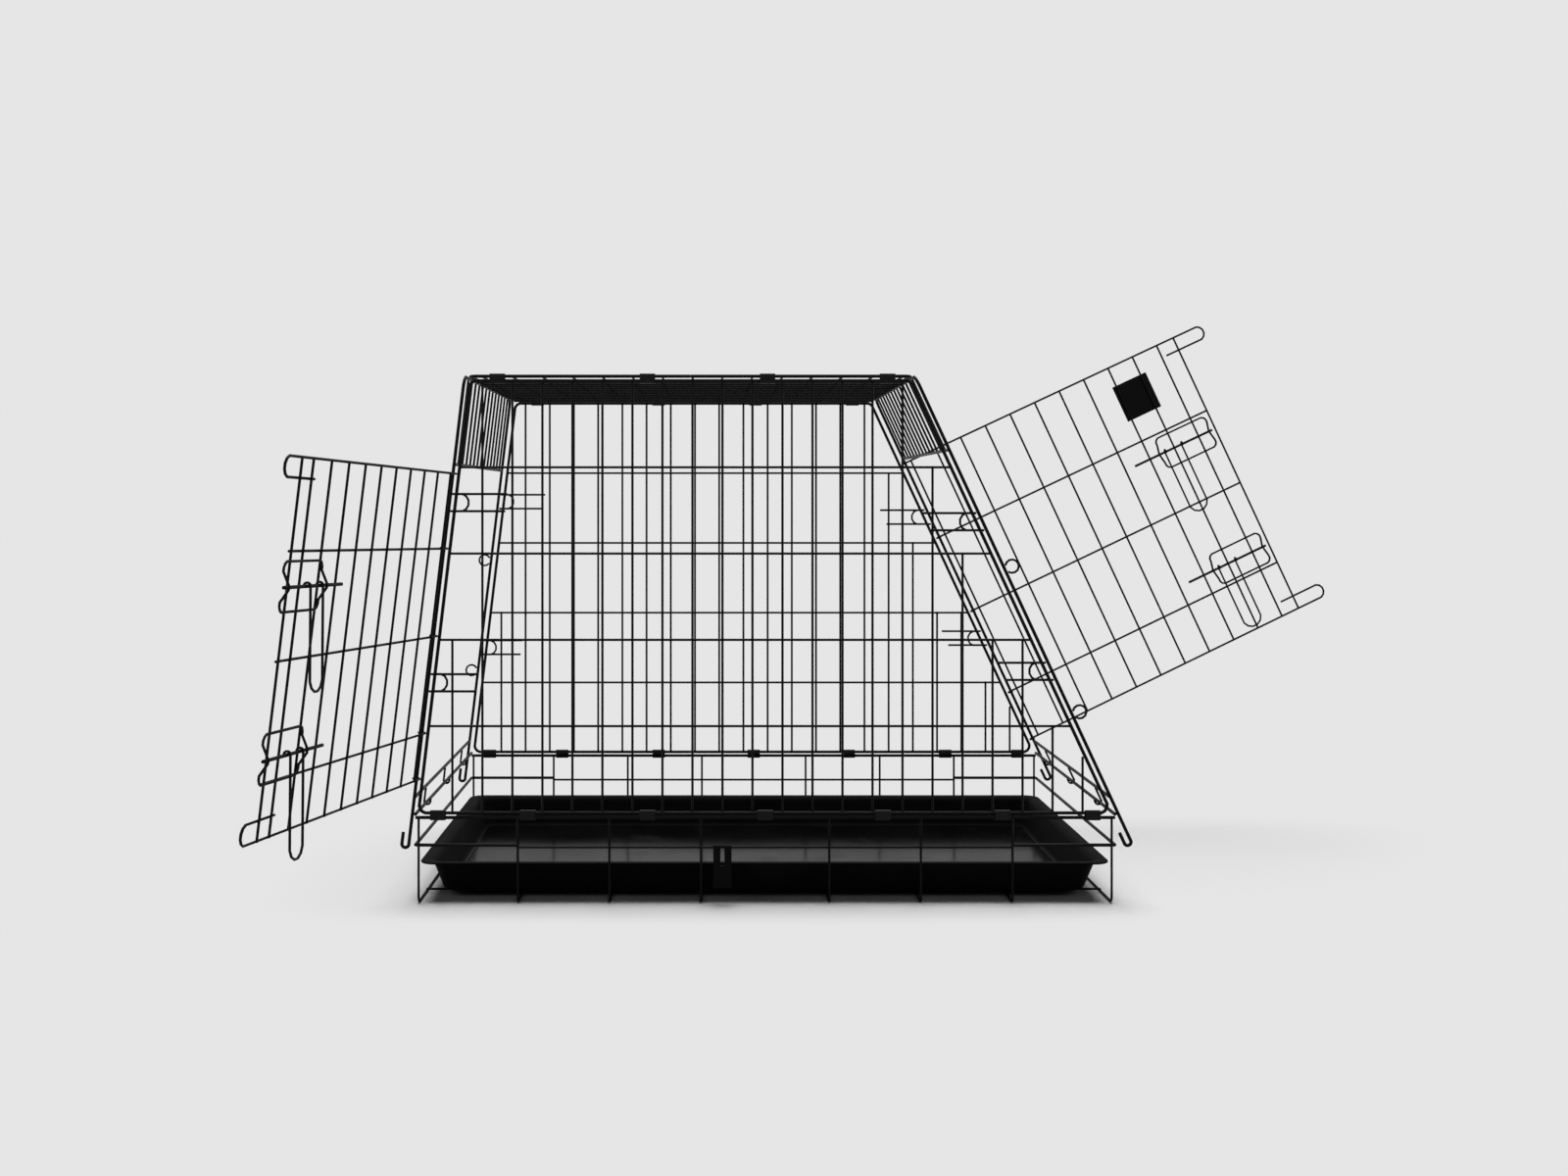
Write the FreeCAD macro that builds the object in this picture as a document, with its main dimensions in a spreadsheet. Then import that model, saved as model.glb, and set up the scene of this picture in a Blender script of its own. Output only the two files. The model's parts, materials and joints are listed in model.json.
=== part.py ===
import FreeCAD, Part
import math
import os
from types import SimpleNamespace

os.makedirs("parts", exist_ok=True)

Vector = FreeCAD.Vector
Placement = FreeCAD.Placement
Rotation = FreeCAD.Rotation

# Driving sizes, in millimetres, degrees and counts. The near side is -Y, the rear end is -X.
SIZES = {
    "crate_length": 915.0,
    "crate_width": 530.0,
    "side_top_height": 684.0,
    "rear_lean": 6.8,
    "front_lean": 24.9,
    "rail_wire": 4.5,
    "mesh_wire": 3.2,
    "bolt_wire": 4.0,
    "handle_wire": 3.0,
    "weld_bite": 0.2,
    "light_bite": 0.02,
    "running_gap": 0.3,
    "frame_bend": 10.0,
    "butt_gap": 0.1,
    "mitre_turn": 30.0,
    "frame_sides": 8,
    "small_sides": 6,
    # Base
    "base_rail_height": 113.0,
    "base_wire_height": 74.0,
    "end_hoop_height": 77.0,
    "cross_wire_first": 84.0,
    "cross_wire_pitch": 120.0,
    "cross_wire_bend": 8.0,
    "hoop_bend": 3.0,
    "floor_wire_pitch": 100.0,
    # Hinge clips, folded from flat strip round two neighbouring rails
    "clip_drop": 6.0,
    "clip_length": 20.0,
    "clip_wall": 1.0,
    "base_clip_first": 154.0,
    "base_clip_second": 310.5,
    "base_clip_third": 428.0,
    # Side panels
    "side_bays": 5,
    "upright_pitch": 39.25,
    "first_upright": -409.2,
    "edge_gap": 8.6,
    "edge_margin": 8.0,
    "lock_tip": 6.0,
    "lock_loop_depth": 12.5,
    "lock_loop_bend": 11.0,
    "rear_upper_lock": 536.0,
    "rear_lower_lock": 300.0,
    "front_upper_lock": 511.0,
    "front_lower_lock": 315.0,
    "lock_spacing": 22.5,
    "upper_lock_length": 66.0,
    "lower_lock_length": 57.0,
    # Top panel
    "top_long_pitch": 40.0,
    "second_top_clip": 5,
    "third_top_clip": 9,
    # End panels
    "end_edge_inset": 6.0,
    "end_bend": 15.0,
    "end_bottom_rail": 138.0,
    "rear_header": 115.0,
    "front_header": 96.0,
    "end_upright_pitch": 37.0,
    "tail_length": 46.0,
    "tail_hook": 9.0,
    "tail_return": 20.0,
    "hinge_eye_pitch": 170.0,
    "eye_return": 4.0,
    "keeper_ring": 8.8,
    "keeper_sweep": 300.0,
    "keeper_bite": 0.45,
    # Doors
    "rear_door_drop": 12.0,
    "rear_door_lift": 24.8,
    "rear_door_margin": 48.0,
    "rear_door_first": 28.0,
    "rear_door_pitch": 46.0,
    "rear_door_angle": 168.4,
    "front_door_drop": 7.0,
    "front_door_lift": 4.0,
    "front_door_margin": 22.0,
    "front_door_first": 12.0,
    "front_door_pitch": 45.3,
    "front_door_angle": 95.0,
    # Places of the inner crossbars and the bolts down a door, as shares of its height
    "rear_first_bar_share": 0.245,
    "rear_second_bar_share": 0.532,
    "rear_third_bar_share": 0.85,
    "front_first_bar_share": 0.2686,
    "front_second_bar_share": 0.535,
    "front_third_bar_share": 0.83,
    "rear_upper_bolt_share": 0.335,
    "rear_lower_bolt_share": 0.78,
    "front_upper_bolt_share": 0.337,
    "front_lower_bolt_share": 0.766,
    "rear_ear_length": 32.0,
    "rear_ear_return": 42.0,
    "front_ear_length": 50.0,
    "front_ear_return": 24.0,
    "ear_width": 22.0,
    "hook_tail": 2.5,
    # Bolts, guides and handles, set back from the latch edge
    "bolt_back": 169.0,
    "bolt_length": 144.0,
    "guide_back": 122.0,
    "guide_length": 93.0,
    "guide_half": 26.5,
    "guide_bend": 8.5,
    "hump_foot": 16.0,
    "hump_flat": 1.9,
    "hump_bend": 4.0,
    "handle_back": 112.0,
    "handle_width": 31.0,
    "handle_length": 112.0,
    "rear_handle_angle": 6.8,
    "front_handle_angle": 0.0,
    # Bare plate on the front door
    "plate_side": 62.0,
    "plate_thickness": 1.5,
    "plate_back": 119.0,
    "plate_down": 63.0,
    # Tray
    "tray_end_gap": 2.0,
    "tray_side_gap": 12.0,
    "tray_rim": 51.0,
    "tray_wall": 2.4,
    "tray_flange": 14.0,
    "tray_flare": 14.0,
    "tray_corner": 26.0,
    # Tray latch
    "latch_place": -56.0,
    "latch_width": 24.0,
    "latch_drop": 53.0,
    "latch_wall": 1.6,
    "latch_thickness": 3.0,
    "latch_notch": 5.2,
    "latch_notch_floor": 24.0,
}

doc = FreeCAD.newDocument("folding_pet_crate")
sheet = doc.addObject("Spreadsheet::Sheet", "Dims")
for row, (name, number) in enumerate(SIZES.items(), start=1):
    sheet.set(f"A{row}", name)
    sheet.set(f"B{row}", str(number))
    sheet.setAlias(f"B{row}", name)
doc.recompute()
d = SimpleNamespace(**{name: float(sheet.get(name)) for name in SIZES})

ALONG_X = Vector(1, 0, 0)
ALONG_Y = Vector(0, 1, 0)
ALONG_Z = Vector(0, 0, 1)
TOUCH = 1e-6
nodes = []

# Places that several pieces share
half_length = d.crate_length / 2
half_width = d.crate_width / 2
rail_radius = d.rail_wire / 2
mesh_radius = d.mesh_wire / 2
rail_weld = rail_radius + mesh_radius - d.weld_bite
mesh_weld = d.mesh_wire - d.weld_bite
flush = rail_radius - mesh_radius
end_rail_height = d.base_rail_height + d.rail_wire - d.weld_bite
side_rail_height = d.base_rail_height + d.clip_drop
side_bay = (d.side_top_height - side_rail_height) / d.side_bays
top_height = d.side_top_height + d.clip_drop
end_offset = d.rail_wire + d.running_gap
edge_half = half_width - d.end_edge_inset
hook_radius = rail_radius + d.running_gap + mesh_radius
upright_layer = hook_radius + mesh_weld
handle_eye = d.bolt_wire / 2 + d.running_gap + d.handle_wire / 2
bolt_layer = upright_layer + mesh_radius + d.running_gap + handle_eye + d.handle_wire / 2
guide_foot = upright_layer + mesh_weld
guide_crown = bolt_layer + d.bolt_wire / 2 + d.running_gap + mesh_radius
latch_edge = 2 * edge_half

# Formulas in the sheet's names that several wires share
SIDE_HEIGHT = "(Dims.side_top_height - Dims.base_rail_height - Dims.clip_drop)"
EDGE_SHIFT = "(Dims.rail_wire + Dims.running_gap - Dims.edge_gap)"
SECANTS = "(1 / cos(Dims.rear_lean * 1deg) + 1 / cos(Dims.front_lean * 1deg))"
TANGENTS = "(tan(Dims.rear_lean * 1deg) + tan(Dims.front_lean * 1deg))"
END_RAIL_HEIGHT = "(Dims.base_rail_height + Dims.rail_wire - Dims.weld_bite)"
END_TOP = "(Dims.side_top_height + Dims.clip_drop)"


# Helpers for wires and nodes. A wire's section is a regular polygon with a corner on each contact side.
def straight_wire(start, direction, length, wire, frame=Placement()):
    """A straight wire. length is a formula and wire a diameter, both in the sheet's names."""
    rod = doc.addObject("Part::Prism", "Wire")
    rod.setExpression("Polygon", "Dims.frame_sides")
    rod.setExpression("Circumradius", f"Dims.{wire} / 2")
    rod.setExpression("Height", length)
    rod.Placement = frame * Placement(start, Rotation(ALONG_Z, direction))
    return rod


def bent_path(points, bends):
    """The points of a route, each inner point spread over mitres that touch an arc of the given radius."""
    route = [points[0]]
    for before, corner, after, radius in zip(points, points[1:], points[2:], bends):
        back = (before - corner).normalize()
        ahead = (after - corner).normalize()
        turn = math.pi - back.getAngle(ahead)
        mitres = max(1, math.ceil(turn / math.radians(d.mitre_turn) - TOUCH))
        centre = corner + (back + ahead).normalize() * (radius / math.cos(turn / 2))
        arc_start = corner + back * (radius * math.tan(turn / 2)) - centre
        axis = ahead.cross(back)
        for count in range(mitres):
            angle = (count + 0.5) * turn / mitres
            swing = Rotation(axis, math.degrees(angle))
            route.append(centre + swing.multVec(arc_start) * (1 / math.cos(turn / mitres / 2)))
    route.append(points[-1])
    return route


def section_ring(start, run, corner_way, radius, sides):
    """Corners of a wire's section, square to its first run, the first corner lying in the given way."""
    spin = 360 / sides
    out = corner_way.normalize() * radius
    return [start + Rotation(run, count * spin).multVec(out) for count in range(sides)]


def slide_to_plane(ring, run, place, normal):
    """The ring's corners moved along a run until they lie in a plane."""
    return [corner + run * ((place - corner).dot(normal) / run.dot(normal)) for corner in ring]


def mitred_solid(route, radius, sides):
    """A polygonal wire along a route of straight runs, mitred where the route turns."""
    runs = [(end - start).normalize() for start, end in zip(route, route[1:])]
    rings = [section_ring(route[0], runs[0], runs[0].cross(runs[1]), radius, sides)]
    for place, run, following in zip(route[1:], runs, runs[1:]):
        rings.append(slide_to_plane(rings[-1], run, place, run + following))
    rings.append(slide_to_plane(rings[-1], runs[-1], route[-1], runs[-1]))
    faces = [Part.Face(Part.makePolygon(ring + ring[:1])) for ring in (rings[0], rings[-1])]
    for ring, following in zip(rings, rings[1:]):
        for count in range(sides):
            beside = (count + 1) % sides
            quad = [ring[count], ring[beside], following[beside], following[count], ring[count]]
            faces.append(Part.Face(Part.makePolygon(quad)))
    shell = Part.Shell(faces)
    shell.sewShape()
    return Part.makeSolid(shell)


def bent_wire(points, bends, diameter, sides, frame=Placement()):
    """A wire bent along straight runs, with a bend of the given radius at each inner point."""
    piece = doc.addObject("Part::Feature", "BentWire")
    solid = mitred_solid(bent_path(points, bends), diameter / 2, int(sides))
    if solid.Volume < 0:
        solid.reverse()
    piece.Shape = solid
    piece.Placement = frame
    return piece


def loop_wire(corners, bend, diameter, frame=Placement()):
    """A wire bent into a closed frame, its two ends meeting halfway along the first side."""
    middle = (corners[0] + corners[1]) * 0.5
    gap = (corners[1] - corners[0]).normalize() * d.butt_gap
    points = [middle] + corners[1:] + [corners[0], middle - gap]
    return bent_wire(points, [bend] * len(corners), diameter, d.frame_sides, frame)


def node(label, pieces):
    """A named sub-part that holds the given pieces."""
    group = doc.addObject("Part::Compound", label)
    group.Label = label
    group.Links = pieces
    nodes.append(group)


def strip_outline(low, high, radius):
    """A closed outline of flats round two parallel rails, one above the other."""
    spin = 360 / d.small_sides
    half = int(d.small_sides) // 2
    corners = []
    for centre, first in ((high, 0), (low, half)):
        for count in range(first, first + half + 1):
            turn = Rotation(ALONG_X, count * spin)
            corners.append(centre + turn.multVec(ALONG_Y * radius))
    return Part.makePolygon(corners + corners[:1])


def hinge_clip(x, y, low_height):
    """A strip folded round a rail and the rail above it, loose enough for either to turn in it."""
    low = Vector(x - d.clip_length / 2, y, low_height)
    high = low + Vector(0, 0, d.clip_drop)
    inner = (rail_radius + d.running_gap) / math.cos(math.pi / d.small_sides)
    profile = doc.addObject("Part::Feature", "ClipProfile")
    outlines = [strip_outline(low, high, inner + d.clip_wall), strip_outline(low, high, inner)]
    profile.Shape = Part.makeFace(outlines, "Part::FaceMakerBullseye")
    clip = doc.addObject("Part::Extrusion", "Clip")
    clip.Base = profile
    clip.DirMode = "Custom"
    clip.Dir = ALONG_X
    clip.Solid = True
    clip.setExpression("LengthFwd", "Dims.clip_length")
    return clip


# Base
def base_cross_wire(x):
    """A wire that runs down the near side, across the floor and up the far side."""
    side = half_width - rail_weld
    points = [
        Vector(x, -side, d.base_rail_height),
        Vector(x, -side, mesh_radius),
        Vector(x, side, mesh_radius),
        Vector(x, side, d.base_rail_height),
    ]
    return bent_wire(points, [d.cross_wire_bend] * 2, d.mesh_wire, d.frame_sides)


def end_hoop(end):
    """The thick wire that goes round one end of the base from its last cross wires."""
    start = end * (d.cross_wire_first + 2 * d.cross_wire_pitch)
    points = [
        Vector(start, -half_width, d.end_hoop_height),
        Vector(end * half_length, -half_width, d.end_hoop_height),
        Vector(end * half_length, half_width, d.end_hoop_height),
        Vector(start, half_width, d.end_hoop_height),
    ]
    return bent_wire(points, [d.hoop_bend] * 2, d.rail_wire, d.frame_sides)


def build_base():
    post = half_length - rail_weld
    places = [d.cross_wire_first + count * d.cross_wire_pitch for count in range(3)] + [post]
    node("base_cross_wires", [base_cross_wire(end * x) for end in (-1, 1) for x in places])
    node("base_end_hoops", [end_hoop(end) for end in (-1, 1)])
    node("base_side_rails", [
        straight_wire(Vector(-half_length, side * half_width, d.base_rail_height), ALONG_X,
                      "Dims.crate_length", "rail_wire")
        for side in (-1, 1)
    ])
    node("base_end_rails", [
        straight_wire(Vector(end * half_length, -half_width, end_rail_height), ALONG_Y,
                      "Dims.crate_width", "rail_wire")
        for end in (-1, 1)
    ])
    side_wire = half_width - rail_weld + mesh_weld
    node("base_side_wires", [
        straight_wire(Vector(-places[2], side * side_wire, d.base_wire_height), ALONG_X,
                      "2 * (Dims.cross_wire_first + 2 * Dims.cross_wire_pitch)", "mesh_wire")
        for side in (-1, 1)
    ])
    node("base_floor_wires", [
        straight_wire(Vector(-post, count * d.floor_wire_pitch, mesh_radius + mesh_weld), ALONG_X,
                      "Dims.crate_length - Dims.rail_wire - Dims.mesh_wire + 2 * Dims.weld_bite", "mesh_wire")
        for count in range(-2, 3)
    ])
    clips = (d.base_clip_first, d.base_clip_second, d.base_clip_third)
    clip_places = [-x for x in clips] + [0.0] + list(clips)
    node("base_hinge_clips", [
        hinge_clip(x, side * half_width, d.base_rail_height)
        for side in (-1, 1) for x in clip_places
    ])


# Side panels
def end_lean(end):
    """Lean of an end panel, in radians. end is -1 at the rear and 1 at the front."""
    return math.radians(d.rear_lean if end < 0 else d.front_lean)


def end_plane(end, height):
    """X of an end panel's plane at a height."""
    lean = end_lean(end)
    foot = half_length + end_offset / math.cos(lean)
    return end * (foot - (height - end_rail_height) * math.tan(lean))


def side_edge(end, height):
    """X of a side panel's slanted edge wire at a height."""
    return end_plane(end, height) - end * d.edge_gap / math.cos(end_lean(end))


def edge_to_edge(height):
    """Formula for the length between a side panel's slanted edges at a height, itself a formula."""
    narrowing = f"({height} - {END_RAIL_HEIGHT}) * {TANGENTS}"
    return f"Dims.crate_length + {EDGE_SHIFT} * {SECANTS} - {narrowing}"


def edge_height(x):
    """Height at which the front slanted edge wire passes over x."""
    return end_rail_height + (side_edge(1, end_rail_height) - x) / math.tan(end_lean(1))


def side_frame(side):
    y = side * half_width
    corners = [
        Vector(side_edge(end, height), y, height)
        for end, height in (
            (-1, side_rail_height), (1, side_rail_height), (1, d.side_top_height), (-1, d.side_top_height),
        )
    ]
    return loop_wire(corners, d.frame_bend, d.rail_wire)


def clear_bays(x):
    """How many bays an upright at x climbs before the slanted edge comes too near."""
    bays = 0
    for count in range(1, int(d.side_bays) + 1):
        height = side_rail_height + count * side_bay
        if side_edge(-1, height) + d.edge_margin < x < side_edge(1, height) - d.edge_margin:
            bays = count
    return bays


def upright_places():
    """X of each upright that stands at least one bay high."""
    places = []
    x = d.first_upright
    while x < half_length:
        if clear_bays(x) > 0:
            places.append(x)
        x += d.upright_pitch
    return places


def corner_upright(x, y, foot):
    """The short wire in the front corner, which ends on the slanted edge."""
    reach = (rail_radius - flush) / math.sin(end_lean(1))
    top = edge_height(x + mesh_radius) - reach
    return straight_wire(Vector(x, y, foot), ALONG_Z, f"{top - foot}", "mesh_wire")


def side_uprights(side):
    y = side * (half_width - flush)
    foot = side_rail_height + rail_radius - d.weld_bite
    wires = []
    for x in upright_places():
        bays = clear_bays(x)
        trim = "2 * (Dims.rail_wire / 2 - Dims.weld_bite)"
        if bays < d.side_bays:
            trim = "(Dims.rail_wire / 2 - Dims.weld_bite - Dims.mesh_wire / 2)"
        length = f"{SIDE_HEIGHT} * {bays} / Dims.side_bays - {trim}"
        wires.append(straight_wire(Vector(x, y, foot), ALONG_Z, length, "mesh_wire"))
    wires.append(corner_upright(upright_places()[-1] + d.upright_pitch, y, foot))
    return wires


def side_crossbars(side):
    y = side * (half_width - rail_weld)
    bars = []
    for count in range(1, int(d.side_bays)):
        height = side_rail_height + count * side_bay
        level = f"(Dims.side_top_height - {SIDE_HEIGHT} * {int(d.side_bays) - count} / Dims.side_bays)"
        start = Vector(side_edge(-1, height), y, height)
        bars.append(straight_wire(start, ALONG_X, edge_to_edge(level), "mesh_wire"))
    return bars


LOCKS = (
    (-1, "rear_upper_lock", "upper_lock_length"),
    (-1, "rear_lower_lock", "lower_lock_length"),
    (1, "front_upper_lock", "upper_lock_length"),
    (1, "front_lower_lock", "lower_lock_length"),
)


def side_lock_wires(side):
    """Pairs of short wires whose tips pass the panel's edge and stand behind the end panel's edge wire."""
    y = side * (half_width - rail_weld)
    wires = []
    for end, upper, length in LOCKS:
        for drop in (0.0, d.lock_spacing):
            height = getattr(d, upper) - drop
            tip = side_edge(end, height) + end * d.lock_tip
            wires.append(straight_wire(Vector(tip, y, height), ALONG_X * -end,
                                       f"Dims.{length} + Dims.lock_tip", "mesh_wire"))
    return wires


def side_lock_loops(side):
    """The bowed wire that joins the two wires of each lock pair beside the panel's edge."""
    y = side * (half_width - rail_weld - d.mesh_wire + d.light_bite)
    loops = []
    for end, upper, length in LOCKS:
        high = getattr(d, upper)
        low = high - d.lock_spacing
        inboard = side_edge(end, high) - end * (d.lock_loop_depth + rail_radius)
        points = [
            Vector(side_edge(end, high), y, high),
            Vector(inboard, y, high),
            Vector(inboard, y, low),
            Vector(side_edge(end, low), y, low),
        ]
        loops.append(bent_wire(points, [d.lock_loop_bend] * 2, d.mesh_wire, d.small_sides))
    return loops


def build_side(name, side):
    node(f"{name}_side_frame", [side_frame(side)])
    node(f"{name}_side_uprights", side_uprights(side))
    node(f"{name}_side_crossbars", side_crossbars(side))
    node(f"{name}_side_lock_wires", side_lock_wires(side))
    node(f"{name}_side_lock_loops", side_lock_loops(side))


# Top panel
def build_top():
    rear = side_edge(-1, d.side_top_height)
    front = side_edge(1, d.side_top_height)
    corners = [
        Vector(rear, -half_width, top_height),
        Vector(front, -half_width, top_height),
        Vector(front, half_width, top_height),
        Vector(rear, half_width, top_height),
    ]
    node("top_frame", [loop_wire(corners, d.frame_bend, d.rail_wire)])
    reach = half_width - rail_radius + d.weld_bite
    crossings = [x for x in upright_places() if clear_bays(x) == d.side_bays]
    cross_length = "Dims.crate_width - Dims.rail_wire + 2 * Dims.weld_bite"
    node("top_cross_wires", [
        straight_wire(Vector(x, -reach, top_height - flush), ALONG_Y, cross_length, "mesh_wire")
        for x in crossings
    ])
    below = top_height - rail_weld
    count = int(half_width // d.top_long_pitch)
    long_length = edge_to_edge("Dims.side_top_height")
    node("top_long_wires", [
        straight_wire(Vector(rear, step * d.top_long_pitch, below), ALONG_X, long_length, "mesh_wire")
        for step in range(-count, count + 1)
    ])
    gaps = [first + d.upright_pitch / 2 for first in crossings[:-1]]
    chosen = [gaps[0], gaps[int(d.second_top_clip)], gaps[int(d.third_top_clip)], gaps[-1]]
    node("top_hinge_clips", [
        hinge_clip(x, side * half_width, d.side_top_height) for side in (-1, 1) for x in chosen
    ])


# End panels. In an end panel's own frame X runs from the hinge edge to the latch edge, Y runs down
# the slope and Z points outwards.
def end_frame(end):
    """Frame of an end panel, its origin outside the middle of the base's end rail."""
    tilt = end_lean(end)
    across = Vector(0, -end, 0)
    down = Vector(end * math.sin(tilt), 0, -math.cos(tilt))
    outward = Vector(end * math.cos(tilt), 0, math.sin(tilt))
    origin = Vector(end * half_length, 0, end_rail_height) + outward * end_offset
    turn = Rotation(across, down, outward, "XYZ")
    return Placement(origin, turn)


def slope_down(end, height):
    """Distance down an end panel's slope, from its origin, to a height above the floor."""
    return (end_frame(end).Base.z - height) / math.cos(end_lean(end))


def door_rail(name):
    """Height of the rail above a doorway."""
    return top_height - getattr(d, f"{name}_header")


def door_top(name):
    """Height of a door's top crossbar."""
    return door_rail(name) - getattr(d, f"{name}_door_drop")


def door_height(name, end):
    """Length of a door down the slope."""
    rise = door_top(name) - d.end_bottom_rail - getattr(d, f"{name}_door_lift")
    return rise / math.cos(end_lean(end))


def bolt_places(name, end):
    """Distances of a door's two bolts down from its top crossbar."""
    shares = [getattr(d, f"{name}_{level}_bolt_share") for level in ("upper", "lower")]
    return [share * door_height(name, end) for share in shares]


def end_outline(end, frame):
    """The edge wires, the wire over the top and the hooked tails, bent from one wire.

    The tails hook outwards at the rear and inwards at the front.
    """
    top = slope_down(end, top_height)
    hook = -end * d.tail_hook
    tip = d.tail_length - d.tail_return
    points = [
        Vector(-edge_half, tip, hook),
        Vector(-edge_half, d.tail_length, hook),
        Vector(-edge_half, d.tail_length, 0),
        Vector(-edge_half, top, 0),
        Vector(edge_half, top, 0),
        Vector(edge_half, d.tail_length, 0),
        Vector(edge_half, d.tail_length, hook),
        Vector(edge_half, tip, hook),
    ]
    tail_bend = d.tail_hook / 2
    bends = [tail_bend, tail_bend, d.end_bend, d.end_bend, tail_bend, tail_bend]
    return bent_wire(points, bends, d.rail_wire, d.frame_sides, frame)


def end_rail(end, height, frame):
    reach = edge_half - rail_radius + d.weld_bite
    length = "Dims.crate_width - 2 * Dims.end_edge_inset - Dims.rail_wire + 2 * Dims.weld_bite"
    return straight_wire(Vector(-reach, slope_down(end, height), 0), ALONG_X, length, "rail_wire", frame)


def end_uprights(name, end, frame):
    """The close uprights between the rail above the doorway and the wire over the top."""
    start = slope_down(end, door_rail(name)) - rail_radius + d.weld_bite
    slope = f"Dims.{name}_header / cos(Dims.{name}_lean * 1deg)"
    length = f"{slope} - Dims.rail_wire + 2 * Dims.weld_bite"
    count = int((edge_half - d.end_bend) // d.end_upright_pitch)
    return [
        straight_wire(Vector(step * d.end_upright_pitch, start, 0), ALONG_Y * -1, length, "mesh_wire", frame)
        for step in range(-count, count + 1)
    ]


def hinge_eye(end, across, frame):
    """A wire that drops from the bottom rail and hooks round the base's end rail."""
    outside = hook_radius - end_offset
    inside = -hook_radius - end_offset
    top = slope_down(end, d.end_bottom_rail) + rail_radius - d.weld_bite
    points = [
        Vector(across, top, outside),
        Vector(across, hook_radius, outside),
        Vector(across, hook_radius, inside),
        Vector(across, -d.eye_return, inside),
    ]
    return bent_wire(points, [hook_radius] * 2, d.mesh_wire, d.small_sides, frame)


def keeper(down, frame):
    """An open ring that a bolt's tip enters, its two ends welded to the latch edge."""
    half_gap = (360 - d.keeper_sweep) / 2
    steps = int(d.keeper_sweep // d.mitre_turn)
    step = d.keeper_sweep / steps
    end_slant = math.cos(math.radians(half_gap + step / 2))
    end_reach = mesh_radius * math.cos(math.pi / d.small_sides) * end_slant
    rise = d.keeper_ring * math.cos(math.radians(half_gap))
    centre = Vector(edge_half, down, rail_radius - d.keeper_bite + end_reach + rise)
    route = []
    for count in range(steps + 1):
        turn = Rotation(ALONG_X, half_gap + count * step)
        route.append(centre + turn.multVec(ALONG_Z * -d.keeper_ring))
    ring = doc.addObject("Part::Feature", "Keeper")
    ring.Shape = mitred_solid(route, mesh_radius, int(d.small_sides))
    ring.Placement = frame
    return ring


def build_end(name, end):
    frame = end_frame(end)
    top = slope_down(end, door_top(name))
    node(f"{name}_end_frame", [end_outline(end, frame)])
    node(f"{name}_end_rails", [
        end_rail(end, height, frame) for height in (d.end_bottom_rail, door_rail(name))
    ])
    node(f"{name}_end_uprights", end_uprights(name, end, frame))
    node(f"{name}_hinge_eyes", [hinge_eye(end, step * d.hinge_eye_pitch, frame) for step in (-1, 0, 1)])
    node(f"{name}_keepers", [keeper(top + down, frame) for down in bolt_places(name, end)])


# Doors. In a door's own frame X runs from the hinge to the free edge, Y runs down from the top
# crossbar and Z points out of the face that carries the bolts.
def door_frame(end, name):
    closed = Placement(Vector(-edge_half, slope_down(end, door_top(name)), 0), Rotation())
    opened = Placement(Vector(), Rotation(ALONG_Y * -1, getattr(d, f"{name}_door_angle")))
    return end_frame(end) * closed * opened


def door_crossbar(name, down, width, ear, frame):
    """A crossbar hooked round the hinge edge. ear is 1 or -1 where its free end turns back as a loop."""
    points = [
        Vector(d.hook_tail, down, -hook_radius),
        Vector(-hook_radius, down, -hook_radius),
        Vector(-hook_radius, down, hook_radius),
        Vector(width, down, hook_radius),
    ]
    bends = [hook_radius] * 2
    if ear:
        tip = width + getattr(d, f"{name}_ear_length")
        back = down + ear * d.ear_width
        points[-1] = Vector(tip, down, hook_radius)
        points.append(Vector(tip, back, hook_radius))
        points.append(Vector(width - getattr(d, f"{name}_ear_return"), back, hook_radius))
        bends += [d.ear_width / 2] * 2
    return bent_wire(points, bends, d.mesh_wire, d.small_sides, frame)


def bolt_guide(down, frame):
    """A rounded rectangle of wire that lies on the uprights, each end of it humped over the bolt."""
    near = latch_edge - d.guide_back
    far = near + d.guide_length
    middle = (near + far) / 2
    high = down - d.guide_half
    low = down + d.guide_half
    hump = [
        (-d.hump_foot, guide_foot), (-d.hump_flat, guide_crown),
        (d.hump_flat, guide_crown), (d.hump_foot, guide_foot),
    ]
    points = [Vector(middle, high, guide_foot), Vector(near, high, guide_foot)]
    points += [Vector(near, down + step, level) for step, level in hump]
    points += [Vector(near, low, guide_foot), Vector(far, low, guide_foot)]
    points += [Vector(far, down - step, level) for step, level in hump]
    points += [Vector(far, high, guide_foot), Vector(middle + d.butt_gap, high, guide_foot)]
    corner = [d.guide_bend]
    over = [d.hump_bend] * len(hump)
    bends = corner + over + corner * 2 + over + corner
    return bent_wire(points, bends, d.mesh_wire, d.small_sides, frame)


def bolt(down, frame):
    """The round rod that slides through the guide and carries the handle's eyes."""
    rod = doc.addObject("Part::Cylinder", "Bolt")
    rod.setExpression("Radius", "Dims.bolt_wire / 2")
    rod.setExpression("Height", "Dims.bolt_length")
    start = Vector(latch_edge - d.bolt_back, down, bolt_layer)
    rod.Placement = frame * Placement(start, Rotation(ALONG_Z, ALONG_X))
    return rod


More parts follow.
